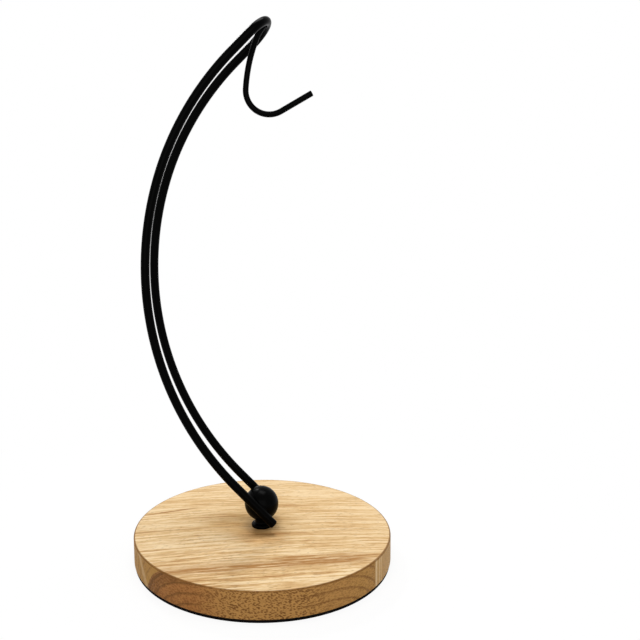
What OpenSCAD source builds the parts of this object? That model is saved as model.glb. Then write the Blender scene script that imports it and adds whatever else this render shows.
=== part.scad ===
// Banana hanger: a bowed hairpin of steel rod, welded to a turned knob that is
// screwed to a round wooden base, with a wire hook hanging inside its bend.
// The origin is at the centre of the underside and the arch lies in the XZ plane.

/* [Base] */
// Diameter of the wooden disc
disc_d = 150; // [110:1:200]
// Thickness of the wooden disc
disc_t = 15; // [12:0.5:25]
// Rounding of the disc's two rims
disc_round = 0.7; // [0.3:0.1:2]
// Thickness of the non-slip pad under the disc
pad_t = 1.5; // [0.8:0.1:3]
// Distance of the pad's edge inside the disc's rim
pad_inset = 0.5; // [0:0.1:4]

/* [Knob] */
// Diameter of the turned ball
ball_d = 20; // [18:0.2:24]
// Height of the ball's centre above the wood
ball_height = 13.8; // [13:0.1:20]
// Diameter of the flat foot
foot_d = 12; // [11.5:0.5:16]
// Thickness of the foot
foot_t = 2; // [1.2:0.1:3]
// Rounding of the foot's upper edge
foot_round = 0.8; // [0.3:0.1:1.1]
// Diameter of the narrow waist between the foot and the ball
waist_d = 8; // [7.5:0.5:9]
// Radius of the hollow in which the waist spreads onto the foot
waist_round = 1.2; // [0.4:0.1:1.2]

/* [Hairpin frame] */
// Diameter of the steel rod
rod_d = 5; // [4:0.1:6]
// Depth to which each leg is seated in the side of the ball
rod_seat = 0.15; // [0.1:0.05:0.5]
// Angle of the legs above the horizontal where they leave the knob
lean = 46; // [42:0.5:50]
// Length of each leg past the ball's centre, towards the base
leg_tail = 11; // [7:0.5:12]
// Straight length of each leg above the ball's centre
leg_straight = 19; // [12:1:30]
// Radius of the wide bow, along the middle of the rod
bow_r = 175; // [150:1:195]
// Angle that the wide bow turns through
bow_angle = 61; // [56:0.5:66]
// Radius of the tighter curve above the bow
crown_r = 160; // [130:1:180]
// Angle that the tighter curve turns through
crown_angle = 29.5; // [24:0.5:33]
// Straight length between the tighter curve and the bend at the top
crown_straight = 13.5; // [8:0.5:20]

/* [Hook] */
// Diameter of the hook's wire
hook_d = 3.3; // [2.5:0.1:4]
// Angle below the horizontal at which the hook leaves the rod
hook_lead = 41.5; // [36:0.5:46]
// Radius of the hook's first bend, under the rod
neck_r = 22.5; // [14:0.5:24]
// Angle of the hook's first bend
neck_angle = 26.5; // [24:0.5:32]
// Radius of the long slack curve down to the throat
drop_r = 90; // [70:1:110]
// Angle of the long slack curve
drop_angle = 17.5; // [15:0.5:21]
// Radius of the throat that carries the load, along the middle of the wire
throat_r = 13.2; // [10:0.2:16]
// Angle of the throat
throat_angle = 123; // [108:0.5:126]
// Straight length of the hook's open end
tip_straight = 19.5; // [14:0.5:28]

/* [Fixing] */
// Diameter of the machine screw
screw_d = 5; // [4:0.5:5]
// Depth to which the screw reaches into the knob
screw_grip = 9; // [7:0.5:11]
// Length of the empty hole past the screw's end
hole_spare = 1.5; // [0.5:0.5:3]
// Diameter of the screw's head
head_d = 9.4; // [8:0.2:11]
// Height of the screw's head
head_h = 3.4; // [2.4:0.2:4]
// Outer diameter of the washer
washer_d = 12; // [11.5:0.5:14]
// Thickness of the washer
washer_t = 1; // [0.8:0.1:1.5]
// Depth of the recess under the disc that holds the head and the washer
recess_depth = 6; // [5.5:0.5:7]
// Room round the washer in its recess, on each side
recess_room = 1; // [0.5:0.1:2]
// Room round the screw in the wood and in the washer, on each side
screw_room = 0.25; // [0.15:0.05:0.4]
// Room round the screw's thread in the knob, on each side
thread_room = 0.05; // [0.03:0.01:0.1]
// Extra radius of the hole through the pad round the recess
pad_hole_room = 1.5; // [0.5:0.5:4]

/* [Hidden] */
$fn = 64;
// Facets of a full turn of rod, for previews
bend_fn = 240;

// Overlap of cutting shapes past the faces that they open
cut = 1;

wood_top = pad_t + disc_t;
ball_z = wood_top + ball_height;

// Spacing of the legs, centre to centre, when both are seated on the ball
leg_gap = ball_d + rod_d - 2 * rod_seat;

// The waist spreads no wider than the flat of the foot
foot_flat_r = foot_d / 2 - foot_round;
spread_r = min(waist_round, foot_flat_r - waist_d / 2);

recess_d = washer_d + 2 * recess_room;
recess_top = pad_t + recess_depth;
screw_top = wood_top + screw_grip;

// Cross recess in the head: width across, slot width and depth as shares of the head
cross_d = 0.52 * head_d;
cross_w = 0.12 * head_d;
cross_depth = 0.6 * head_h;
head_round = 0.35 * head_h;

// Two stretches of a rod stop just short of each other, inside a ball that joins them
// and is a hair thicker than the rod
joint_fat = 0.01;
joint_gap = 0.05;

// One row for each stretch of a rod: [length, 0] is straight, and [radius, angle] is
// a bend along the middle of the rod, which turns up when its angle is positive
leg_rows = [
  [leg_tail + leg_straight, 0],
  [bow_r, -bow_angle],
  [crown_r, -crown_angle],
  [crown_straight, 0]
];
hook_rows = [
  [neck_r, neck_angle],
  [drop_r, drop_angle],
  [throat_r, throat_angle],
  [tip_straight, 0]
];

// Place on a rod, [x, z, heading], at the end of a stretch that starts at another place
function after(place, row) =
  let (
    heading = place[2],
    turned = heading + row[1],
    r = sign(row[1]) * row[0],
    run = row[1] == 0 ? row[0] : 0
  )
  [
    place[0] + run * cos(heading) + r * (sin(turned) - sin(heading)),
    place[1] + run * sin(heading) - r * (cos(turned) - cos(heading)),
    turned
  ];

// Place on a rod after its first n stretches
function walk(start, rows, n) = n == 0 ? start : after(walk(start, rows, n - 1), rows[n - 1]);

// Angle of a bend that is as long as the gap at a joint
function gap_angle(radius) = joint_gap / radius * 180 / PI;

// Where a leg starts, where both legs reach the bend at the top, and that bend's crest
leg_heading = 180 - lean;
leg_start = [-leg_tail * cos(leg_heading), ball_z - leg_tail * sin(leg_heading), leg_heading];
leg_end = walk(leg_start, leg_rows, len(leg_rows));
crest_x = leg_end[0] + leg_gap / 2 * cos(leg_end[2]);
crest_z = leg_end[1] + leg_gap / 2 * sin(leg_end[2]);

// The hook starts at the middle of the rod, which then cuts its end to fit
hook_start = [crest_x, crest_z, 180 + hook_lead];

// Moves its children to a place on a rod, with the heading along +X
module at_heading(place) {
  translate([place[0], 0, place[1]])
    rotate([0, -place[2], 0])
      children();
}

// Ball that joins two stretches of a rod of diameter d, with its poles inside them
module joint_ball(d) {
  rotate([0, 90, 0])
    sphere(d = d + 2 * joint_fat);
}

// A straight stretch along +X, shortened at a joined start or end
module straight_stretch(d, length, trim_start, trim_end) {
  translate([trim_start ? joint_gap : 0, 0, 0])
    rotate([0, 90, 0])
      cylinder(d = d, h = length - (trim_start ? joint_gap : 0) - (trim_end ? joint_gap : 0));
}

// A bend from the origin along +X, turning towards +Z when its angle is positive
module bent_stretch(d, radius, angle, trim_start, trim_end) {
  from = trim_start ? gap_angle(radius) : 0;
  sweep = abs(angle) - from - (trim_end ? gap_angle(radius) : 0);
  translate([0, 0, sign(angle) * radius])
    rotate([90, 0, 0])
      rotate([0, 0, angle > 0 ? from - 90 : 90 - from - sweep])
        rotate_extrude(angle = sweep, $fn = bend_fn)
          translate([radius, 0])
            circle(d = d);
}

// A rod in the XZ plane, built stretch by stretch; its far end may join another rod
module bent_rod(d, start, rows, joined_end = false) {
  last = len(rows) - 1;
  for (i = [0 : last])
    at_heading(walk(start, rows, i)) {
      if (rows[i][1] == 0)
        straight_stretch(d, rows[i][0], i > 0, i < last || joined_end);
      else
        bent_stretch(d, rows[i][0], rows[i][1], i > 0, i < last || joined_end);
      if (i > 0)
        joint_ball(d);
    }
}

// Places its children at both legs of the hairpin
module both_sides() {
  for (side = [-1, 1])
    translate([0, side * leg_gap / 2, 0])
      children();
}

// The half turn that joins the two legs, in the plane of their straight ends
module top_bend() {
  trim = gap_angle(leg_gap / 2);
  at_heading(leg_end)
    rotate([0, 0, trim - 90])
      rotate_extrude(angle = 180 - 2 * trim, $fn = bend_fn)
        translate([leg_gap / 2, 0])
          circle(d = rod_d);
}

// Ring that rounds the upper rim of a disc of radius r whose top is at z = 0
module rim_cutter(r, round) {
  rotate_extrude()
    translate([r - round, -round])
      difference() {
        square(round + cut);
        circle(r = round);
      }
}

module base_disc() {
  color("burlywood")
    difference() {
      translate([0, 0, pad_t])
        cylinder(d = disc_d, h = disc_t);
      translate([0, 0, wood_top])
        rim_cutter(disc_d / 2, disc_round);
      translate([0, 0, pad_t])
        mirror([0, 0, 1])
          rim_cutter(disc_d / 2, disc_round);
      translate([0, 0, pad_t - cut])
        cylinder(d = screw_d + 2 * screw_room, h = disc_t + 2 * cut);
      translate([0, 0, pad_t - cut])
        cylinder(d = recess_d, h = recess_depth + cut);
    }
}

module base_pad() {
  color("dimgray")
    difference() {
      cylinder(d = disc_d - 2 * pad_inset, h = pad_t);
      translate([0, 0, -cut])
        cylinder(d = recess_d + 2 * pad_hole_room, h = pad_t + 2 * cut);
    }
}

// Round foot with a rounded upper edge
module knob_foot() {
  difference() {
    cylinder(d = foot_d, h = foot_t);
    translate([0, 0, foot_t])
      rim_cutter(foot_d / 2, foot_round);
  }
}

// Waist from the foot into the ball, spreading in a hollow onto the foot
module knob_waist() {
  cylinder(d = waist_d, h = ball_height);
  translate([0, 0, foot_t / 2])
    difference() {
      cylinder(r = waist_d / 2 + spread_r, h = foot_t / 2 + spread_r);
      translate([0, 0, foot_t / 2 + spread_r])
        rotate_extrude()
          translate([waist_d / 2 + spread_r, 0])
            circle(r = spread_r);
    }
}

module ball_post() {
  color("black")
    difference() {
      translate([0, 0, wood_top]) {
        knob_foot();
        knob_waist();
        translate([0, 0, ball_height])
          sphere(d = ball_d);
      }
      translate([0, 0, wood_top - cut])
        cylinder(d = screw_d + 2 * thread_room, h = screw_grip + hole_spare + cut);
      // groove on each side where a leg is seated and welded
      both_sides()
        at_heading(leg_start)
          straight_stretch(rod_d, leg_tail + leg_straight, false, false);
    }
}

module wire_frame() {
  color("black") {
    both_sides() {
      bent_rod(rod_d, leg_start, leg_rows, joined_end = true);
      at_heading(leg_end)
        joint_ball(rod_d);
    }
    top_bend();
  }
}

module hanging_hook() {
  color("black")
    difference() {
      bent_rod(hook_d, hook_start, hook_rows);
      top_bend();
    }
}

module base_screw() {
  head_top = recess_top - washer_t;
  head_bottom = head_top - head_h;
  color("silver")
    difference() {
      union() {
        translate([0, 0, head_bottom])
          cylinder(d = head_d, h = head_h);
        translate([0, 0, head_bottom + head_h / 2])
          cylinder(d = screw_d, h = screw_top - head_bottom - head_h / 2);
      }
      translate([0, 0, head_bottom])
        mirror([0, 0, 1])
          rim_cutter(head_d / 2, head_round);
      // cross recess, opened from below and narrowing upwards
      intersection() {
        translate([0, 0, head_bottom - cut])
          cylinder(d1 = cross_d + 2 * cut, d2 = cross_w, h = cross_depth + cut);
        for (turn = [0, 90])
          rotate([0, 0, turn])
            translate([-head_d / 2, -cross_w / 2, head_bottom - cut])
              cube([head_d, cross_w, cross_depth + cut]);
      }
    }
}

module screw_washer() {
  color("silver")
    translate([0, 0, recess_top - washer_t])
      difference() {
        cylinder(d = washer_d, h = washer_t);
        translate([0, 0, -cut])
          cylinder(d = screw_d + 2 * screw_room, h = washer_t + 2 * cut);
      }
}

base_disc();
base_pad();
ball_post();
wire_frame();
hanging_hook();
base_screw();
screw_washer();
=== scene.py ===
"""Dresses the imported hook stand: oiled wood, coated steel rod, knob, pad and fixings."""

import math

import bpy
from mathutils import Matrix, Vector


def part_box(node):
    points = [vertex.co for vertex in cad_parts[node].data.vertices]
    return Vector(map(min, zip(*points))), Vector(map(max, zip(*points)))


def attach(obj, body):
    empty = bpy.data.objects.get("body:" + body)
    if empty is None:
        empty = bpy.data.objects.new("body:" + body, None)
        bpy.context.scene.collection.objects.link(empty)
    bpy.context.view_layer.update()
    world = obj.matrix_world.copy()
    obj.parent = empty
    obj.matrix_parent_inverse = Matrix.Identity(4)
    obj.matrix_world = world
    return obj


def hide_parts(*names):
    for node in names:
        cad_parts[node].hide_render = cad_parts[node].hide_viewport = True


bl_info = {
    "name": "Hairpin hook stand",
    "version": (1, 0, 0),
    "blender": (4, 5, 0),
    "location": "3D View > Sidebar > Hook Stand",
    "description": "Materials, swept steel rod, welds and studio for a hook stand on a wood disc",
    "category": "Object",
}

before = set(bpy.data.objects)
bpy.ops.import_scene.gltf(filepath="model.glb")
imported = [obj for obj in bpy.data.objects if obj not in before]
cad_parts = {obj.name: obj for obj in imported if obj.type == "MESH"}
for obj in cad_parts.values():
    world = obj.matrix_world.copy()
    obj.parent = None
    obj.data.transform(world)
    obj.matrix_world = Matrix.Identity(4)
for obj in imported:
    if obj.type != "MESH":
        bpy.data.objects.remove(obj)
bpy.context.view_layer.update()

MM = 0.001
DISC_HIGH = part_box("base_disc")[1]
KNOB_LOW, KNOB_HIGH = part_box("ball_post")
BALL_RADIUS = (KNOB_HIGH.x - KNOB_LOW.x) / 2
BALL_CENTRE_Z = KNOB_HIGH.z - BALL_RADIUS


# ---- sizes and colours ----


def length(name, description, millimetres):
    """A size that is kept in metres and given here in millimetres."""
    return bpy.props.FloatProperty(
        name=name,
        description=description,
        default=millimetres * MM,
        min=0.0,
        precision=5,
        subtype="DISTANCE",
        unit="LENGTH",
    )


def angle(name, description, degrees):
    """An angle that is kept in radians and given here in degrees."""
    return bpy.props.FloatProperty(
        name=name,
        description=description,
        default=math.radians(degrees),
        subtype="ANGLE",
        unit="ROTATION",
    )


def colour(name, description, red, green, blue):
    """A linear colour."""
    return bpy.props.FloatVectorProperty(
        name=name,
        description=description,
        default=(red, green, blue),
        min=0.0,
        max=1.0,
        size=3,
        subtype="COLOR",
    )


def share(name, description, value):
    """A number from 0 to 1."""
    return bpy.props.FloatProperty(
        name=name,
        description=description,
        default=value,
        min=0.0,
        max=1.0,
        subtype="FACTOR",
    )


class HairpinSizes(bpy.types.PropertyGroup):
    """The bent rod of the frame, along its axis from a cut end to the half turn"""

    rod: length("Rod", "Diameter of the steel rod", 5.0)
    gap: length("Leg spacing", "Spacing of the two legs, centre to centre", 24.7)
    lean: angle("Lean", "Angle of the straight feet of the legs above the horizon", 46.0)
    tail: length("Tail", "Length of a leg below the middle of the ball", 11.0)
    foot: length("Straight foot", "Straight length of a leg above the middle of the ball", 19.0)
    bow_radius: length("Bow radius", "Radius of the long bend", 175.0)
    bow_sweep: angle("Bow sweep", "Angle turned by the long bend", 61.0)
    crown_radius: length("Crown radius", "Radius of the upper bend", 160.0)
    crown_sweep: angle("Crown sweep", "Angle turned by the upper bend", 29.5)
    crown_straight: length("Crown straight", "Straight length before the half turn", 13.5)
    chamfer: length("Cut edge", "Chamfer on the cut ends of the rod", 0.3)


class HookSizes(bpy.types.PropertyGroup):
    """The hook's rod, along its axis from the crest of the hairpin to the free tip"""

    rod: length("Rod", "Diameter of the hook's rod", 3.3)
    hidden: length("Hidden start", "Length of the axis that lies inside the frame's rod", 1.5)
    lead: angle("Lead", "Angle between the hook's start and the horizon", 41.5)
    neck_radius: length("Neck radius", "Radius of the first bend", 22.5)
    neck_sweep: angle("Neck sweep", "Angle turned by the first bend", 26.5)
    drop_radius: length("Drop radius", "Radius of the hanging stretch", 90.0)
    drop_sweep: angle("Drop sweep", "Angle turned by the hanging stretch", 17.5)
    throat_radius: length("Throat radius", "Radius of the hook's bowl", 13.2)
    throat_sweep: angle("Throat sweep", "Angle turned by the hook's bowl", 123.0)
    tip: length("Tip", "Straight length at the free end", 19.5)
    chamfer: length("Cut edge", "Chamfer on the free end", 0.2)


class WeldSizes(bpy.types.PropertyGroup):
    """The weld beads at the ball and at the hook's root"""

    bead: length("Bead", "Radius of the weld beads beside the legs", 0.8)
    run: length("Run", "Length of a weld bead beside a leg", 6.0)
    ring: length("Ring", "Radius of the bead round the root of the hook", 0.55)
    ripple: share("Ripple", "Depth of the ripples along a bead, as a share of its radius", 0.08)


class Finishes(bpy.types.PropertyGroup):
    """Colours of the wood, the coats, the pad and the plated fixings"""

    wood_pale: colour("Pale wood", "Early wood on the top face", 0.92, 0.70, 0.42)
    wood_gold: colour("Golden wood", "Body colour of the top face", 0.75, 0.50, 0.235)
    wood_streak: colour("Streak", "Late wood on the top face", 0.44, 0.205, 0.062)
    wood_band: colour("Band", "Red-brown lines in the grain of the top", 0.44, 0.216, 0.067)
    wood_edge: colour("Edge wood", "Body colour of the turned edge", 0.48, 0.245, 0.070)
    wood_red: colour("Red heart", "Heart wood at the left of the edge", 0.40, 0.165, 0.045)
    wood_tan: colour("Tan wood", "Sap wood at both ends of the edge", 0.470, 0.248, 0.062)
    wood_dark: colour("Dark lines", "Rings on the edge and the arris line", 0.20, 0.085, 0.020)
    # A tint that paints the shade round the knob
    wood_painted_shade: colour("Painted shade tint", "Darkens the wood round the knob", 0.74, 0.64, 0.48)
    # A tint that paints the warm shadow before the knob's foot
    wood_painted_shadow: colour("Painted shadow tint", "Warms the wood before the knob's foot", 1.0, 0.87, 0.72)
    pore: colour("Pore", "Open pores", 0.125, 0.045, 0.010)
    coat: colour("Coated steel", "Coat on rod, hook and welds", 0.0004, 0.0004, 0.0004)
    gloss: colour("Knob", "Paint on the turned knob", 0.0004, 0.0004, 0.0004)
    pad: colour("Pad", "Non-slip pad", 0.003, 0.0026, 0.0026)
    zinc: colour("Zinc", "Plated fixings", 0.62, 0.63, 0.64)


class StageSizes(bpy.types.PropertyGroup):
    """The floor and the camera"""

    floor_radius: length("Floor", "Radius of the floor", 6000.0)
    lens: length("Lens", "Focal length of the camera", 38.456)
    shift: bpy.props.FloatVectorProperty(
        name="Shift",
        description="Shift of the camera's frame to the right and up, in frame widths",
        default=(0.1, -0.0234),
        size=2,
        precision=4,
    )
    camera: bpy.props.FloatVectorProperty(
        name="Camera",
        description="Place of the camera",
        default=(0.02172, -0.38879, 0.19028),
        subtype="TRANSLATION",
        unit="LENGTH",
        precision=5,
    )
    camera_yaw: angle("Camera yaw", "Turn of the camera to the right of +Y", -3.41)
    camera_pitch: angle("Camera pitch", "Tilt of the camera above the horizon", -6.19)
    camera_roll: angle("Camera roll", "Turn of the camera about its view", -0.90)


# ---- node graphs ----


class Wire:
    """One output socket. Arithmetic on it adds Math nodes to its graph."""

    def __init__(self, graph, socket):
        self.graph = graph
        self.socket = socket

    def __add__(self, other):
        return self.graph.maths("ADD", self, other)

    def __sub__(self, other):
        return self.graph.maths("SUBTRACT", self, other)

    def __rsub__(self, other):
        return self.graph.maths("SUBTRACT", other, self)

    def __mul__(self, other):
        return self.graph.maths("MULTIPLY", self, other)

    def __truediv__(self, other):
        return self.graph.maths("DIVIDE", self, other)

    def __rtruediv__(self, other):
        return self.graph.maths("DIVIDE", other, self)

    def __pow__(self, other):
        return self.graph.maths("POWER", self, other)

    def __neg__(self):
        return self.graph.maths("MULTIPLY", self, -1.0)

    __radd__ = __add__
    __rmul__ = __mul__


class Graph:
    """Adds nodes to a material's tree or to a Geometry Nodes tree."""

    def __init__(self, tree):
        self.tree = tree

    def node(self, kind, settings=None, sockets=None):
        """A node of one type, with its settings made before its sockets are filled."""
        made = self.tree.nodes.new(kind)
        for key, value in (settings or {}).items():
            if key == "stops":
                self.set_stops(made.color_ramp, value)
            else:
                setattr(made, key, value)
        for key, value in (sockets or {}).items():
            self.feed(made.inputs[key], value)
        return made

    def feed(self, socket, value):
        if isinstance(value, Wire):
            self.tree.links.new(value.socket, socket)
        elif isinstance(value, bpy.types.NodeSocket):
            self.tree.links.new(value, socket)
        elif socket.type == "RGBA":
            socket.default_value = (*value[:3], 1.0)
        else:
            socket.default_value = value

    @staticmethod
    def set_stops(ramp, stops):
        while len(ramp.elements) < len(stops):
            ramp.elements.new(1.0)
        for element, (position, tone) in zip(ramp.elements, stops):
            element.position = position
            element.color = (*tone[:3], 1.0)

    def wire(self, kind, settings=None, sockets=None, output=0):
        return Wire(self, self.node(kind, settings, sockets).outputs[output])

    def maths(self, operation, a, b=0.0, c=None):
        sockets = {0: a, 1: b} if c is None else {0: a, 1: b, 2: c}
        return self.wire("ShaderNodeMath", {"operation": operation}, sockets)

    def sin(self, value):
        return self.maths("SINE", value)

    def cos(self, value):
        return self.maths("COSINE", value)

    def root(self, value):
        return self.maths("SQRT", value)

    def distance(self, a, b):
        return self.root(a * a + b * b)

    def magnitude(self, value):
        return self.maths("ABSOLUTE", value)

    def fraction(self, value):
        return self.maths("FRACT", value)

    def smaller(self, a, b):
        return self.maths("MINIMUM", a, b)

    def larger(self, a, b):
        return self.maths("MAXIMUM", a, b)

    def limited(self, value, low=0.0, high=1.0):
        return self.smaller(self.larger(value, low), high)

    def smooth(self, value, start, end):
        """0 before start and 1 after end, with a soft change between."""
        return self.wire(
            "ShaderNodeMapRange",
            {"interpolation_type": "SMOOTHSTEP"},
            {"Value": value, "From Min": start, "From Max": end},
        )

    def stripe(self, value, middle, inner, outer):
        """1 up to inner from the middle and 0 beyond outer, with a soft change between."""
        return 1.0 - self.smooth(self.magnitude(value - middle), inner, outer)

    def vector(self, x, y, z):
        return self.wire("ShaderNodeCombineXYZ", None, {0: x, 1: y, 2: z})

    def parts(self, vector):
        split = self.node("ShaderNodeSeparateXYZ", None, {0: vector})
        return [Wire(self, socket) for socket in split.outputs[:3]]

    def noise(self, vector, detail=2.0, roughness=0.5, scale=1.0):
        return self.wire(
            "ShaderNodeTexNoise",
            None,
            {"Vector": vector, "Scale": scale, "Detail": detail, "Roughness": roughness},
        )

    def blend(self, factor, first, second, mode="MIX"):
        """A mix of two colours."""
        return self.wire(
            "ShaderNodeMix",
            {"data_type": "RGBA", "blend_type": mode},
            {0: factor, 6: first, 7: second},
            output=2,
        )

    def bump(self, height, distance, strength=1.0):
        """A normal from a height, whose full range stands for a distance in metres."""
        return self.wire(
            "ShaderNodeBump",
            None,
            {"Height": height, "Distance": distance, "Strength": strength},
        )


def new_material(name):
    material = bpy.data.materials.new(name)
    material.use_nodes = True
    material.node_tree.nodes.clear()
    return material, Graph(material.node_tree)


def finish_material(graph, **sockets):
    """Adds the surface shader; the keys are its socket names with _ for a space."""
    named = {key.replace("_", " "): value for key, value in sockets.items()}
    shader = graph.node("ShaderNodeBsdfPrincipled", None, named)
    graph.node("ShaderNodeOutputMaterial", None, {"Surface": shader.outputs[0]})


def point_in_mm(graph):
    """x, y and z on the object, in millimetres."""
    spot = graph.wire("ShaderNodeTexCoord", output=3)
    return [part * 1000.0 for part in graph.parts(spot)]


# ---- materials ----

DISC_RADIUS = DISC_HIGH.x / MM
DISC_TOP = DISC_HIGH.z / MM

# Glue lines between the staves of the disc, and how wide a line shows, in millimetres
STAVE_EDGES = (-42.6, -3.0, 38.0)
GLUE_LINE = 0.16

# Dark lines that stand out in the grain of the top, in millimetres: the middle across the
# grain, how far it drifts in each millimetre, half its width, where it starts and ends, depth
GRAIN_LINES = (
    (-48.6, 0.012, 9.5, -54.0, 62.0, 0.60),
    (-48.8, 0.012, 2.1, -50.0, 52.0, 0.80),
    (-46.2, 0.014, 0.9, 0.0, 44.0, 0.50),
    (-51.4, 0.016, 1.2, -34.0, 60.0, 0.62),
    (-44.8, 0.0, 1.3, 8.0, 84.0, 0.55),
    (-41.4, 0.0, 1.2, -52.0, 56.0, 0.50),
    (-36.0, 0.01, 1.1, -62.0, 20.0, 0.40),
    (-28.4, 0.0, 1.2, -66.0, 16.0, 0.42),
    (-1.0, 0.0, 1.1, -74.0, 0.0, 0.45),
    (-6.0, 0.0, 1.0, 4.0, 80.0, 0.34),
    (8.6, -0.045, 1.1, 6.0, 80.0, 0.40),
    (37.4, 0.20, 1.3, -76.0, -44.0, 1.60),
)

# Pale upright year lines at the right end of the front: middle, half the width, depth
YEAR_LINES = ((-41.1, 0.95, 0.42), (-37.8, 0.65, 0.36), (-35.9, 0.60, 0.30))

# Growth rings of the front stave, in millimetres: the heart of the tree lies this far before
# and below the disc's middle, the rings stand this far apart, and the red heart ends here
HEART_Y, HEART_Z = -70.5, -9.0
RING_SPACING = 5.0
HEART_EDGE = 31.6


class WoodPoint:
    """A place in the disc, in millimetres, and where it lies among the fibres."""

    def __init__(self, g):
        x, y, z = point_in_mm(g)
        self.x, self.y, self.z = x, y, z

        # The fibres rise to the back as they run to the right, and level out behind the knob
        to_back = g.smooth(y, -45.0, 12.0)
        rise = 0.18 - to_back * 0.12
        bend = to_back * g.smooth(-x, 0.0, 20.0) * 0.0008 + 0.0003
        across = y - x * (rise - x * bend)
        sway = g.noise(g.vector(x / 60.0, across / 26.0, z / 26.0), 2.0) - 0.5
        self.waver = g.noise(g.vector(x / 17.0, across / 5.0, z / 5.0), 2.0) - 0.5
        self.across = across
        self.fibre = across + sway * 3.0 + self.waver * 1.4

        # Streaks and fine lines run with the fibres
        self.streak = g.noise(g.vector(x / 34.0, self.fibre / 1.45, z / 1.45), 2.0, 0.6)
        self.fine = g.noise(g.vector(x / 5.5, self.fibre / 0.85, z / 0.85), 2.0, 0.6)
        self.clumps = g.noise(g.vector(x / 14.0, across / 6.0, z / 5.0), 2.0)


def face_grain(g, at, look):
    """Colour of the flat faces, and how dark their streaks are."""
    # The streaks stand out most at the front
    broad = g.noise(g.vector(at.x / 80.0, at.fibre / 9.0, at.z / 12.0), 2.0)
    contrast = 1.05 - g.smooth(at.y, -45.0, 5.0) * 0.30
    front = (1.0 - g.smooth(at.y, -60.0, -30.0)) * 0.05
    streaks = contrast * ((at.streak - 0.5) * 2.4 + (at.fine - 0.5) * 1.2)
    dark = g.limited(streaks + (broad - 0.5) * 0.9 + front + 0.29)
    tone = g.wire(
        "ShaderNodeValToRGB",
        {"stops": [(0.0, look.wood_pale), (0.42, look.wood_gold), (1.0, look.wood_streak)]},
        {"Fac": dark},
    )

    # The dark lines fade at both ends, and are broken along the way
    lines = 0.0
    for middle, drift, half, start, end, depth in GRAIN_LINES:
        started = g.smooth(at.x, start - 7.0, start + 7.0)
        ended = g.smooth(at.x, end - 9.0, end + 9.0)
        line = g.stripe(at.fibre - at.x * drift, middle, half * 0.2, half)
        lines = line * started * (1.0 - ended) * depth + lines
    broken = g.smooth(g.noise(g.vector(at.x / 12.0, at.fibre / 1.1, 7.0), 2.0), 0.34, 0.58)
    tone = g.blend(g.limited(lines * (broken * 0.72 + 0.28)), tone, look.wood_band)
    return tone, dark


def edge_grain(g, at, look):
    """Colour of the turned edge, and its pores."""
    x, y, z = at.x, at.y, at.z
    at_left = 1.0 - g.smooth(x, -34.0, -10.0)
    at_right = g.smooth(x, 22.0, 40.0)
    behind = g.smooth(y, STAVE_EDGES[0] - 0.04, STAVE_EDGES[0] + 0.04)

    # The turned edge cuts across the growth rings, which show as arcs towards both ends
    ring = g.distance(y - x * 0.10 - HEART_Y + at.waver, z - HEART_Z + at.waver * 0.8)
    year = g.fraction((ring - 11.6) / RING_SPACING)
    late = g.smooth(year, 0.58, 0.82) * (1.0 - g.smooth(year, 0.86, 0.97))
    late = late * (0.20 + g.smooth(g.magnitude(x), 16.0, 34.0) * 0.80)

    # At the left, dark red heart wood turns to tan sap wood, and behind the front stave all
    # the wood is tan
    heart = at_left * (1.0 - g.smooth(ring, HEART_EDGE, HEART_EDGE + 1.2))
    deep_heart = g.smooth(ring, HEART_EDGE - 7.1, HEART_EDGE - 4.1) * heart
    thin = g.fraction(ring / 1.7)
    thin = g.smooth(thin, 0.45, 0.80) * (1.0 - g.smooth(thin, 0.84, 0.98))
    sap = g.larger(at_left * g.smooth(ring, HEART_EDGE + 0.2, HEART_EDGE + 1.4), behind)

    # Pores are short dashes, which dip to the right along the front
    dipped = z + x * (1.0 - at_right) * 0.10
    spots = g.vector(x / 1.45, at.across / 1.45, dipped / 0.64)
    spots = g.wire("ShaderNodeTexVoronoi", None, {"Vector": spots, "Scale": 1.0})
    patches = g.noise(g.vector(x / 2.6, at.across / 2.6, dipped / 1.5), 1.0)
    pores = (at.clumps - 0.5) * 0.25 + (patches - 0.5) * 0.45 - spots
    pores = g.smooth(pores, -0.56, -0.35)
    mottle = g.noise(g.vector(x / 4.0, at.across / 4.0, dipped / 1.5), 3.0, 0.65)
    grit = g.noise(g.vector(x / 1.2, at.across / 1.2, dipped / 0.7), 2.0, 0.6) - 0.5
    stripes = g.noise(g.vector(y / 1.3 + z * 0.1, x / 30.0, z / 8.0), 2.0, 0.6) - 0.5

    tone = g.blend(heart, look.wood_edge, look.wood_red)
    tone = g.blend(sap, tone, look.wood_tan)
    tone = g.blend((1.0 - g.smooth(mottle, 0.30, 0.50)) * 0.35, tone, look.wood_tan)
    to_end = g.smooth(x, 44.0, 56.0) * (1.0 - behind)
    tone = g.blend(to_end * 0.55, tone, look.wood_tan)
    shade = late * (0.78 - sap * 0.48 - at_right * 0.16) + deep_heart * (thin * 0.30 + 0.48)
    shade = shade + (mottle - 0.5) * 0.8 + grit * 1.1 + stripes * sap * 1.5
    tone = g.blend(g.limited(shade), tone, look.wood_dark)
    quiet = g.larger(g.larger(sap * 0.95, at_left * 0.45), at_right * 0.60)
    tone = g.blend(pores * (0.80 - quiet * 0.78), tone, look.pore)

    # Where the next stave meets the ends of the front, pale year lines stand upright at the
    # right, and one broad pale line leans at the left
    pale = behind * 0.16
    for middle, half, depth in YEAR_LINES:
        pale = g.stripe(y, middle, half * 0.4, half) * depth + pale
    leaning = g.stripe(y - (z - 9.0) * 0.6, -41.4, 0.9, 2.6)
    pale = pale * at_right + leaning * at_left * 0.24
    return g.blend(pale, tone, look.wood_pale), pores


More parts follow.
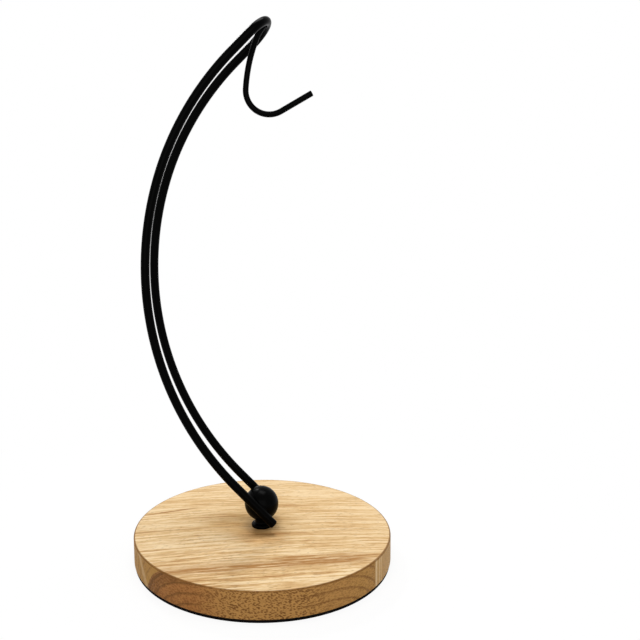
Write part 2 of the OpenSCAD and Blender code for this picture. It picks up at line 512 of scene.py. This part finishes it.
def oiled_wood(look):
    """Pale hardwood glued up of staves, with the grain along x all through them."""
    material, g = new_material("oiled_wood")
    at = WoodPoint(g)
    face, dark = face_grain(g, at, look)
    turned, edge_pores = edge_grain(g, at, look)
    reach = g.distance(at.x, at.y)
    edge = g.smooth(reach, DISC_RADIUS - 0.75, DISC_RADIUS - 0.25)
    flat = 1.0 - edge
    tone = g.blend(edge, face, turned)

    # Small open pores on the faces
    specks = g.noise(g.vector(at.x / 2.6, at.fibre / 0.8, at.z / 0.8), 1.0, 0.4)
    face_pores = g.smooth(specks + (at.clumps - 0.5) * 0.25, 0.62, 0.74) * flat
    tone = g.blend(face_pores * 0.30, tone, look.wood_dark)

    # Glue lines between staves
    glue = 0.0
    for stave_edge in STAVE_EDGES:
        glue = g.stripe(at.y, stave_edge, 0.0, GLUE_LINE) + glue
    tone = g.blend(g.limited(glue) * (edge * 0.45 + 0.15), tone, look.wood_dark)

    # The arris is drawn darker, least at the middle of the front
    arris = g.smooth(reach, DISC_RADIUS - 1.0, DISC_RADIUS - 0.7)
    arris = arris * g.smooth(at.z, DISC_TOP - 0.9, DISC_TOP - 0.6)
    middle = g.stripe(at.x, 0.0, 15.0, 50.0) * (1.0 - g.smooth(at.y, -40.0, 0.0))
    tone = g.blend(arris * (0.72 - middle * 0.20), tone, look.wood_dark)

    # Painted shade: the faces are drawn darker round the knob, where the ball and legs shade the
    # wood, and a warm painted shadow lies before its foot
    from_knob = g.distance((at.x + 6.0) * 0.648, at.y - 3.0)
    # Painted shade round the knob, drawn into the colour
    painted_knob_shade = (1.0 - g.smooth(from_knob, 8.0, 25.0)) * flat * 0.95
    tone = g.blend(painted_knob_shade, tone, g.blend(1.0, tone, look.wood_painted_shade, "MULTIPLY"))
    # Painted shadow: a warm brown tint in front of the knob's foot
    from_foot = g.distance(at.x * 0.707, at.y + 14.0)
    painted_foot_shadow = (1.0 - g.smooth(from_foot, 3.0, 15.0)) * flat
    tone = g.blend(painted_foot_shadow, tone, g.blend(1.0, tone, look.wood_painted_shadow, "MULTIPLY"))

    pores = g.larger(face_pores, edge_pores * edge)
    relief = 0.55 - pores * 0.5 + (at.fine - 0.5) * 0.35 + (at.streak - 0.5) * 0.12
    finish_material(
        g,
        Base_Color=tone,
        Roughness=0.52 + dark * 0.08 + pores * 0.12,
        Specular_IOR_Level=0.10,
        Normal=g.bump(relief, 0.00010, 0.5),
    )
    return material


def powder_coat(name, base, grain, roughness, specular):
    """Black coat whose skin is faintly dimpled; grain is in millimetres."""
    material, g = new_material(name)
    x, y, z = point_in_mm(g)
    peel = g.noise(g.vector(x / grain, y / grain, z / grain), 2.0, 0.5)
    cloud = g.noise(g.vector(x / 7.0, y / 7.0, z / 7.0), 2.0, 0.5)
    tone = g.blend(g.smooth(cloud, 0.3, 0.7), base, [part * 1.8 for part in base])
    finish_material(
        g,
        Base_Color=tone,
        Roughness=roughness + (cloud - 0.5) * 0.16,
        Specular_IOR_Level=specular,
        Normal=g.bump(peel, 0.00003, 0.15),
    )
    return material


def foam_pad(look):
    """Closed-cell foam with a pebbled skin."""
    material, g = new_material("foam_pad")
    x, y, z = point_in_mm(g)
    spot = g.vector(x, y, z)
    pebble = g.wire(
        "ShaderNodeTexVoronoi", {"feature": "SMOOTH_F1"}, {"Vector": spot, "Scale": 1.1}
    )
    dust = g.noise(spot, 3.0, 0.6, 0.15)
    tone = g.blend(dust * 0.5, look.pad, [part * 2.6 for part in look.pad])
    finish_material(
        g,
        Base_Color=tone,
        Roughness=0.86 + (dust - 0.5) * 0.1,
        Specular_IOR_Level=0.03,
        Normal=g.bump(pebble, 0.0002, 0.5),
    )
    return material


def zinc_plate(look):
    """Plated steel with fine turning marks round the screw's axis."""
    material, g = new_material("zinc_plate")
    x, y, z = point_in_mm(g)
    reach = g.root(x * x + y * y)
    marks = g.noise(g.vector(reach / 0.09, z / 0.09, 0.0), 2.0, 0.5)
    cloud = g.noise(g.vector(x / 2.4, y / 2.4, z / 2.4), 3.0, 0.6)
    tone = g.blend(g.smooth(cloud, 0.35, 0.8) * 0.5, look.zinc, [part * 0.6 for part in look.zinc])
    finish_material(
        g,
        Base_Color=tone,
        Metallic=1.0,
        Roughness=0.30 + (cloud - 0.5) * 0.22 + (marks - 0.5) * 0.08,
        Normal=g.bump(marks, 0.00002, 0.4),
    )
    return material


# ---- swept rod ----


class SweepTree:
    """A Geometry Nodes tree with named inputs for its sizes."""

    def __init__(self, name):
        self.tree = bpy.data.node_groups.new(name, "GeometryNodeTree")
        for way in ("INPUT", "OUTPUT"):
            self.tree.interface.new_socket("Geometry", in_out=way, socket_type="NodeSocketGeometry")
        self.graph = Graph(self.tree)
        self.values = {}
        self.entry = self.tree.nodes.new("NodeGroupInput")

    def add_input(self, name, value, kind="NodeSocketFloat"):
        """An input of the tree, and the value it gets on the piece."""
        socket = self.tree.interface.new_socket(name, in_out="INPUT", socket_type=kind)
        self.values[socket.identifier] = value
        return Wire(self.graph, self.entry.outputs[name])

    def close(self, geometry, finish):
        """Ends the tree in Realize Instances and Set Material."""
        real = self.graph.wire("GeometryNodeRealizeInstances", None, {0: geometry})
        painted = self.graph.wire(
            "GeometryNodeSetMaterial", None, {"Geometry": real, "Material": finish}
        )
        leave = self.tree.nodes.new("NodeGroupOutput")
        self.tree.links.new(painted.socket, leave.inputs[0])

    def piece(self, name):
        """The tree's result as a plain mesh object."""
        seed = bpy.data.objects.new(name + "_seed", bpy.data.meshes.new(name + "_seed"))
        bpy.context.scene.collection.objects.link(seed)
        modifier = seed.modifiers.new("tree", "NODES")
        modifier.node_group = self.tree
        for identifier, value in self.values.items():
            modifier[identifier] = value
        seed.update_tag()
        graph = bpy.context.evaluated_depsgraph_get()
        mesh = bpy.data.meshes.new_from_object(seed.evaluated_get(graph))
        seed.modifiers.clear()
        bpy.data.objects.remove(seed)
        if not mesh.polygons:
            raise RuntimeError(f"{name} came out empty")
        made = bpy.data.objects.new(name, mesh)
        bpy.context.scene.collection.objects.link(made)
        return made


def along_bends(g, travelled, start, stretches):
    """x, z and heading of a point that has travelled from start, and what is left to travel.

    start is x, z and heading. A stretch is its length and its turn, and a turn of None is a
    straight line."""
    x, z, heading = start
    for reach, turn in stretches:
        part = g.limited(travelled, 0.0, reach)
        travelled = travelled - reach
        if turn is None:
            x = x + part * g.cos(heading)
            z = z + part * g.sin(heading)
        else:
            radius = reach / turn
            here = heading + part / radius
            x = x + radius * (g.sin(here) - g.sin(heading))
            z = z - radius * (g.cos(here) - g.cos(heading))
            heading = heading + turn
    return x, z, heading, g.larger(travelled, 0.0)


def swept(g, count, position, radius, thickness, sides, cyclic=False):
    """A tube along a line of points, closed at its ends; thickness scales each point's ring."""
    line = g.wire("GeometryNodeMeshLine", None, {"Count": count})
    placed = g.wire("GeometryNodeSetPosition", None, {"Geometry": line, "Position": position})
    curve = g.wire("GeometryNodeMeshToCurve", None, {"Mesh": placed})
    if cyclic:
        curve = g.wire("GeometryNodeSetSplineCyclic", None, {"Geometry": curve, "Cyclic": True})
    ring = g.wire("GeometryNodeCurvePrimitiveCircle", None, {"Resolution": sides, "Radius": radius})
    sweep = g.node("GeometryNodeCurveToMesh", None, {"Curve": curve, "Profile Curve": ring})
    sweep.inputs["Fill Caps"].default_value = True
    g.feed(sweep.inputs["Scale"], thickness)
    return Wire(g, sweep.outputs[0])


ROD_SIDES = 40
BEAD_SIDES = 16
HALF_HAIRPIN_POINTS = 420
HOOK_POINTS = 260
BEAD_POINTS = 41
RING_POINTS = 72
SHARP_EDGE = math.radians(30)

# Weld beads: how much of a bead's radius its middle stands proud of both surfaces, the spacing
# of its ripples in metres, and the ripples round the hook's root
BEAD_PROUD = 0.45
RIPPLE_PITCH = 0.00085
RING_RIPPLES = 11.0


def own_mesh_ready(piece, body="root"):
    """Smooth shading with crisp cut ends, and a ride on its body."""
    mesh = piece.data
    mesh.polygons.foreach_set("use_smooth", [True] * len(mesh.polygons))
    mesh.set_sharp_from_angle(angle=SHARP_EDGE)
    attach(piece, body)


def hairpin_tree(size, finish):
    """The frame's rod: both legs and the half turn between them, as one sweep."""
    tree = SweepTree("hairpin_sweep")
    g = tree.graph
    rod = tree.add_input("Rod diameter", size.rod)
    gap = tree.add_input("Leg spacing", size.gap)
    lean = tree.add_input("Lean", size.lean)
    tail = tree.add_input("Tail", size.tail)
    foot = tree.add_input("Straight foot", size.foot)
    bow_radius = tree.add_input("Bow radius", size.bow_radius)
    bow_sweep = tree.add_input("Bow sweep", size.bow_sweep)
    crown_radius = tree.add_input("Crown radius", size.crown_radius)
    crown_sweep = tree.add_input("Crown sweep", size.crown_sweep)
    crown_straight = tree.add_input("Crown straight", size.crown_straight)
    chamfer = tree.add_input("Cut edge", size.chamfer)
    ball_z = tree.add_input("Ball height", BALL_CENTRE_Z)
    paint = tree.add_input("Finish", finish, "NodeSocketMaterial")

    half_count = HALF_HAIRPIN_POINTS
    heading = math.pi - lean
    start = (-(tail * g.cos(heading)), ball_z - tail * g.sin(heading), heading)
    stretches = [
        (tail + foot, None),
        (bow_radius * bow_sweep, -bow_sweep),
        (crown_radius * crown_sweep, -crown_sweep),
        (crown_straight, None),
    ]
    total = gap * (math.pi / 4)
    for reach, _ in stretches:
        total = total + reach

    # Points are counted from both cut ends, and the first one stands for the chamfer
    index = g.wire("GeometryNodeInputIndex")
    step_number = g.smaller(index, 2.0 * half_count - index)
    step = (total - chamfer) / (half_count - 1.0)
    travelled = g.larger(chamfer + (step_number - 1.0) * step, 0.0)
    side = g.maths("SIGN", index - float(half_count))
    x, z, heading, rest = along_bends(g, travelled, start, stretches)
    turned = rest / (gap / 2.0)
    ahead = gap / 2.0 * g.sin(turned)
    position = g.vector(
        x + ahead * g.cos(heading), side * (gap / 2.0) * g.cos(turned), z + ahead * g.sin(heading)
    )
    at_end = g.larger(1.0 - step_number, 0.0)
    thickness = 1.0 - at_end * chamfer / (rod / 2.0)
    tube = swept(g, 2 * half_count + 1, position, rod / 2.0, thickness, ROD_SIDES)
    tree.close(tube, paint)
    return tree


def crest_of(size):
    """Middle of the rod at the top of the hairpin, x and z."""
    heading = math.pi - size.lean
    x = -size.tail * math.cos(heading)
    z = BALL_CENTRE_Z - size.tail * math.sin(heading)
    stretches = [
        (size.tail + size.foot, 0.0),
        (size.bow_radius, -size.bow_sweep),
        (size.crown_radius, -size.crown_sweep),
        (size.crown_straight, 0.0),
    ]
    for reach, turn in stretches:
        if turn:
            radius = math.copysign(reach, turn)
            x += radius * (math.sin(heading + turn) - math.sin(heading))
            z -= radius * (math.cos(heading + turn) - math.cos(heading))
            heading += turn
        else:
            x += reach * math.cos(heading)
            z += reach * math.sin(heading)
    return x + size.gap / 2 * math.cos(heading), z + size.gap / 2 * math.sin(heading)


def hook_tree(size, hairpin, finish):
    """The hook's rod, from inside the frame's rod to the free tip."""
    tree = SweepTree("hook_sweep")
    g = tree.graph
    rod = tree.add_input("Rod diameter", size.rod)
    lead = tree.add_input("Lead", size.lead)
    hidden = tree.add_input("Hidden start", size.hidden)
    neck_radius = tree.add_input("Neck radius", size.neck_radius)
    neck_sweep = tree.add_input("Neck sweep", size.neck_sweep)
    drop_radius = tree.add_input("Drop radius", size.drop_radius)
    drop_sweep = tree.add_input("Drop sweep", size.drop_sweep)
    throat_radius = tree.add_input("Throat radius", size.throat_radius)
    throat_sweep = tree.add_input("Throat sweep", size.throat_sweep)
    tip = tree.add_input("Tip", size.tip)
    chamfer = tree.add_input("Cut edge", size.chamfer)
    paint = tree.add_input("Finish", finish, "NodeSocketMaterial")
    crest_x, crest_z = crest_of(hairpin)

    count = HOOK_POINTS
    start = (crest_x, crest_z, math.pi + lead)
    stretches = [
        (neck_radius * neck_sweep, neck_sweep),
        (drop_radius * drop_sweep, drop_sweep),
        (throat_radius * throat_sweep, throat_sweep),
        (tip, None),
    ]
    total = 0.0
    for reach, _ in stretches:
        total = reach + total
    index = g.wire("GeometryNodeInputIndex")
    step = (total - hidden - chamfer) / (count - 2.0)
    travelled = g.smaller(hidden + index * step, total)
    x, z, _, _ = along_bends(g, travelled, start, stretches)
    at_end = g.larger(index - (count - 2.0), 0.0)
    thickness = 1.0 - at_end * chamfer / (rod / 2.0)
    tube = swept(g, count, g.vector(x, 0.0, z), rod / 2.0, thickness, ROD_SIDES)
    tree.close(tube, paint)
    return tree


def weld_tree(size, hairpin, hook, finish):
    """Beads beside the legs where they cross the ball, and a ring round the hook's root."""
    tree = SweepTree("weld_beads")
    g = tree.graph
    bead = tree.add_input("Bead radius", size.bead)
    run = tree.add_input("Run", size.run)
    ring = tree.add_input("Ring bead radius", size.ring)
    ripple = tree.add_input("Ripple", size.ripple)
    gap = tree.add_input("Leg spacing", hairpin.gap)
    rod = tree.add_input("Rod diameter", hairpin.rod)
    lean = tree.add_input("Lean", hairpin.lean)
    hook_rod = tree.add_input("Hook rod diameter", hook.rod)
    lead = tree.add_input("Lead", hook.lead)
    ball = tree.add_input("Ball radius", BALL_RADIUS)
    ball_z = tree.add_input("Ball height", BALL_CENTRE_Z)
    paint = tree.add_input("Finish", finish, "NodeSocketMaterial")
    crest_x, crest_z = crest_of(hairpin)
    index = g.wire("GeometryNodeInputIndex")

    # A bead fills the groove between leg and ball, and its middle follows both surfaces
    from_rod = rod / 2.0 + bead * BEAD_PROUD
    from_ball = ball + bead * BEAD_PROUD
    half = gap / 2.0
    depth = (from_ball * from_ball - from_rod * from_rod + half * half) / (half * 2.0)
    drift = g.root(from_ball * from_ball - depth * depth)
    place = (index / (BEAD_POINTS - 1.0) - 0.5) * run
    ends = g.root(g.larger(1.0 - (place / (run / 2.0)) ** 2.0, 0.0025))
    ripples = 1.0 + ripple * g.sin(place * (2.0 * math.pi / RIPPLE_PITCH))
    heading = math.pi - lean
    forward_x = g.cos(heading)
    forward_z = g.sin(heading)
    parts = []
    for leg in (-1.0, 1.0):
        for flank in (-1.0, 1.0):
            position = g.vector(
                place * forward_x - drift * flank * forward_z,
                depth * leg,
                ball_z + place * forward_z + drift * flank * forward_x,
            )
            parts.append(swept(g, BEAD_POINTS, position, bead, ends * ripples, BEAD_SIDES))

    # The ring follows the saddle where the hook meets the rod
    round_turn = index * (2.0 * math.pi / RING_POINTS)
    reach = hook_rod / 2.0 + ring * 0.2
    side = reach * g.cos(round_turn)
    lift = reach * g.sin(round_turn)
    height = g.root(rod * rod / 4.0 - lift * lift) + ring * 0.05
    toward_x = g.cos(lead + math.pi)
    toward_z = g.sin(lead + math.pi)
    position = g.vector(
        crest_x + height * toward_x - lift * toward_z,
        side,
        crest_z + height * toward_z + lift * toward_x,
    )
    wobble = 1.0 + ripple * g.sin(round_turn * RING_RIPPLES)
    parts.append(swept(g, RING_POINTS, position, ring, wobble, BEAD_SIDES, cyclic=True))

    joined = g.node("GeometryNodeJoinGeometry")
    for part in parts:
        tree.tree.links.new(part.socket, joined.inputs[0])
    tree.close(Wire(g, joined.outputs[0]), paint)
    return tree


# ---- stage ----

WHITE = (1.0, 1.0, 1.0)
FLOOR_BOUNCE = (0.80, 0.80, 0.80)
SHADOW_SHARE = 0.09
WORLD_LIGHT = 0.42
WORLD_GLOSS = 0.9

# Softboxes: place, target, width and height in metres, and power in watts
SOFTBOXES = {
    "overhead_softbox": ((0.04, 0.12, 1.15), (0.0, 0.0, 0.10), (0.60, 0.45), 6.2),
    "rim_softbox": ((-0.50, 0.90, 1.15), (0.0, 0.0, 0.25), (0.18, 0.18), 4.4),
    "front_softbox": ((0.10, -1.40, 0.55), (0.0, 0.0, 0.05), (1.6, 1.0), 5.5),
}


def white_floor():
    """White to the eye with the stand's soft shadow, paler grey for what it throws back."""
    material, g = new_material("white_floor")
    x, y, _ = g.parts(g.wire("ShaderNodeTexCoord", output=3))
    clear = 1.0 - (1.0 - g.smooth(g.distance(x, y), 0.085, 0.30)) * SHADOW_SHARE
    seen = g.node("ShaderNodeLightPath")
    is_seen = g.larger(
        g.larger(Wire(g, seen.outputs["Is Camera Ray"]), Wire(g, seen.outputs["Is Glossy Ray"])),
        Wire(g, seen.outputs["Is Transmission Ray"]),
    )
    bounce = g.wire("ShaderNodeBsdfDiffuse", None, {"Color": FLOOR_BOUNCE})
    shadowed = g.wire("ShaderNodeBsdfDiffuse", None, {"Color": WHITE})
    glow = g.wire("ShaderNodeEmission", None, {"Color": WHITE, "Strength": 1.0})
    pale = g.wire("ShaderNodeMixShader", None, {0: clear, 1: shadowed, 2: glow})
    mixed = g.wire("ShaderNodeMixShader", None, {0: is_seen, 1: bounce, 2: pale})
    g.node("ShaderNodeOutputMaterial", None, {"Surface": mixed})
    return material


def set_world():
    """Even grey light, which the eye and polished surfaces see as white."""
    world = bpy.data.worlds.new("studio")
    bpy.context.scene.world = world
    world.use_nodes = True
    world.node_tree.nodes.clear()
    g = Graph(world.node_tree)
    seen = g.node("ShaderNodeLightPath")
    is_seen = g.larger(
        Wire(g, seen.outputs["Is Camera Ray"]), Wire(g, seen.outputs["Is Transmission Ray"])
    )
    glossy = Wire(g, seen.outputs["Is Glossy Ray"])
    strength = g.larger(g.larger(is_seen, glossy * WORLD_GLOSS), WORLD_LIGHT)
    sky = g.wire("ShaderNodeBackground", None, {"Color": WHITE, "Strength": strength})
    g.node("ShaderNodeOutputWorld", None, {"Surface": sky})


def add_softbox(name, place, target, size, power):
    lamp = bpy.data.lights.new(name, "AREA")
    lamp.shape = "RECTANGLE"
    lamp.size, lamp.size_y = size
    lamp.energy = power
    holder = bpy.data.objects.new(name, lamp)
    bpy.context.scene.collection.objects.link(holder)
    holder.location = place
    holder.rotation_euler = (Vector(target) - Vector(place)).to_track_quat("-Z", "Y").to_euler()


# ---- operators ----


def paint_node(node, material):
    """Gives a CAD node its finish."""
    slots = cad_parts[node].data.materials
    if len(slots):
        for index in range(len(slots)):
            slots[index] = material
    else:
        slots.append(material)


def scene_sizes():
    return bpy.context.scene.hook_stand


class HookStandSettings(bpy.types.PropertyGroup):
    """All sizes and colours of the stand and its stage"""

    hairpin: bpy.props.PointerProperty(type=HairpinSizes)
    hook: bpy.props.PointerProperty(type=HookSizes)
    weld: bpy.props.PointerProperty(type=WeldSizes)
    look: bpy.props.PointerProperty(type=Finishes)
    stage: bpy.props.PointerProperty(type=StageSizes)


def coat_material(look):
    """The coat that the hairpin, the hook and the welds share."""
    known = bpy.data.materials.get("powder_coat")
    return known or powder_coat("powder_coat", look.coat, grain=3.0, roughness=0.19, specular=0.023)


class HOOKSTAND_OT_disc(bpy.types.Operator):
    """Finish the turned disc in oiled wood"""

    bl_idname = "hookstand.disc"
    bl_label = "Wood Disc"

    def execute(self, context):
        paint_node("base_disc", oiled_wood(scene_sizes().look))
        return {"FINISHED"}


class HOOKSTAND_OT_pad(bpy.types.Operator):
    """Finish the non-slip pad in black foam"""

    bl_idname = "hookstand.pad"
    bl_label = "Pad"

    def execute(self, context):
        paint_node("base_pad", foam_pad(scene_sizes().look))
        return {"FINISHED"}


class HOOKSTAND_OT_knob(bpy.types.Operator):
    """Finish the turned knob in black gloss"""

    bl_idname = "hookstand.knob"
    bl_label = "Knob"

    def execute(self, context):
        gloss = scene_sizes().look.gloss
        coat = powder_coat("knob_gloss", gloss, grain=3.5, roughness=0.24, specular=0.026)
        paint_node("ball_post", coat)
        return {"FINISHED"}


class HOOKSTAND_OT_hairpin(bpy.types.Operator):
    """Sweep the bent rod of the frame"""

    bl_idname = "hookstand.hairpin"
    bl_label = "Hairpin Frame"

    def execute(self, context):
        sizes = scene_sizes()
        piece = hairpin_tree(sizes.hairpin, coat_material(sizes.look)).piece("hairpin_rod")
        own_mesh_ready(piece)
        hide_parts("wire_frame")
        return {"FINISHED"}


class HOOKSTAND_OT_hook(bpy.types.Operator):
    """Sweep the hook that hangs from the frame"""

    bl_idname = "hookstand.hook"
    bl_label = "Hanging Hook"

    def execute(self, context):
        sizes = scene_sizes()
        tree = hook_tree(sizes.hook, sizes.hairpin, coat_material(sizes.look))
        piece = tree.piece("hook_rod")
        own_mesh_ready(piece)
        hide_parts("hanging_hook")
        return {"FINISHED"}


class HOOKSTAND_OT_welds(bpy.types.Operator):
    """Lay the weld beads at the ball and at the hook's root"""

    bl_idname = "hookstand.welds"
    bl_label = "Weld Beads"

    def execute(self, context):
        sizes = scene_sizes()
        tree = weld_tree(sizes.weld, sizes.hairpin, sizes.hook, coat_material(sizes.look))
        piece = tree.piece("weld_beads")
        own_mesh_ready(piece)
        return {"FINISHED"}


class HOOKSTAND_OT_fixings(bpy.types.Operator):
    """Finish the screw and its washer in zinc plate"""

    bl_idname = "hookstand.fixings"
    bl_label = "Screw and Washer"

    def execute(self, context):
        zinc = zinc_plate(scene_sizes().look)
        paint_node("base_screw", zinc)
        paint_node("screw_washer", zinc)
        return {"FINISHED"}


class HOOKSTAND_OT_stage(bpy.types.Operator):
    """Set up the floor, the softboxes and the camera"""

    bl_idname = "hookstand.stage"
    bl_label = "Stage"

    def execute(self, context):
        size = scene_sizes().stage
        reach = size.floor_radius
        corners = [(-reach, -reach, 0), (reach, -reach, 0), (reach, reach, 0), (-reach, reach, 0)]
        mesh = bpy.data.meshes.new("floor")
        mesh.from_pydata(corners, [], [(0, 1, 2, 3)])
        mesh.materials.append(white_floor())
        floor = bpy.data.objects.new("floor", mesh)
        context.scene.collection.objects.link(floor)

        set_world()
        for name, settings in SOFTBOXES.items():
            add_softbox(name, *settings)

        camera = bpy.data.cameras.new("camera")
        camera.sensor_width = 36.0
        camera.lens = size.lens * 1000.0
        camera.shift_x, camera.shift_y = size.shift
        camera.clip_start, camera.clip_end = 0.01, 50.0
        holder = bpy.data.objects.new("camera", camera)
        context.scene.collection.objects.link(holder)
        yaw, pitch = size.camera_yaw, size.camera_pitch
        forward = Vector(
            (math.sin(yaw) * math.cos(pitch), math.cos(yaw) * math.cos(pitch), math.sin(pitch))
        )
        right = Vector((math.cos(yaw), -math.sin(yaw), 0.0))
        level = Matrix((right, right.cross(forward), -forward)).transposed()
        turn = level @ Matrix.Rotation(size.camera_roll, 3, "Z")
        holder.matrix_world = Matrix.Translation(size.camera) @ turn.to_4x4()
        context.scene.camera = holder

        context.scene.view_settings.view_transform = "Standard"
        return {"FINISHED"}


class HOOKSTAND_PT_panel(bpy.types.Panel):
    """Lists the pieces of the stand"""

    bl_label = "Hook Stand"
    bl_idname = "HOOKSTAND_PT_panel"
    bl_space_type = "VIEW_3D"
    bl_region_type = "UI"
    bl_category = "Hook Stand"

    def draw(self, context):
        sizes = context.scene.hook_stand
        groups = [sizes.look, sizes.hairpin, sizes.hook, sizes.weld, sizes.stage]
        for operator in PIECE_OPERATORS:
            self.layout.operator(operator.bl_idname)
        for group in groups:
            box = self.layout.box()
            for name in group.__annotations__:
                box.prop(group, name)


PIECE_OPERATORS = (
    HOOKSTAND_OT_stage,
    HOOKSTAND_OT_disc,
    HOOKSTAND_OT_pad,
    HOOKSTAND_OT_knob,
    HOOKSTAND_OT_hairpin,
    HOOKSTAND_OT_hook,
    HOOKSTAND_OT_welds,
    HOOKSTAND_OT_fixings,
)
CLASSES = (
    HairpinSizes,
    HookSizes,
    WeldSizes,
    Finishes,
    StageSizes,
    HookStandSettings,
    *PIECE_OPERATORS,
    HOOKSTAND_PT_panel,
)


def register():
    for item in CLASSES:
        bpy.utils.register_class(item)
    bpy.types.Scene.hook_stand = bpy.props.PointerProperty(type=HookStandSettings)


def unregister():
    del bpy.types.Scene.hook_stand
    for item in reversed(CLASSES):
        bpy.utils.unregister_class(item)


def main():
    register()
    bpy.ops.hookstand.stage()
    bpy.ops.hookstand.disc()
    bpy.ops.hookstand.pad()
    bpy.ops.hookstand.knob()
    bpy.ops.hookstand.hairpin()
    bpy.ops.hookstand.hook()
    bpy.ops.hookstand.welds()
    bpy.ops.hookstand.fixings()


if __name__ == "__main__":
    main()
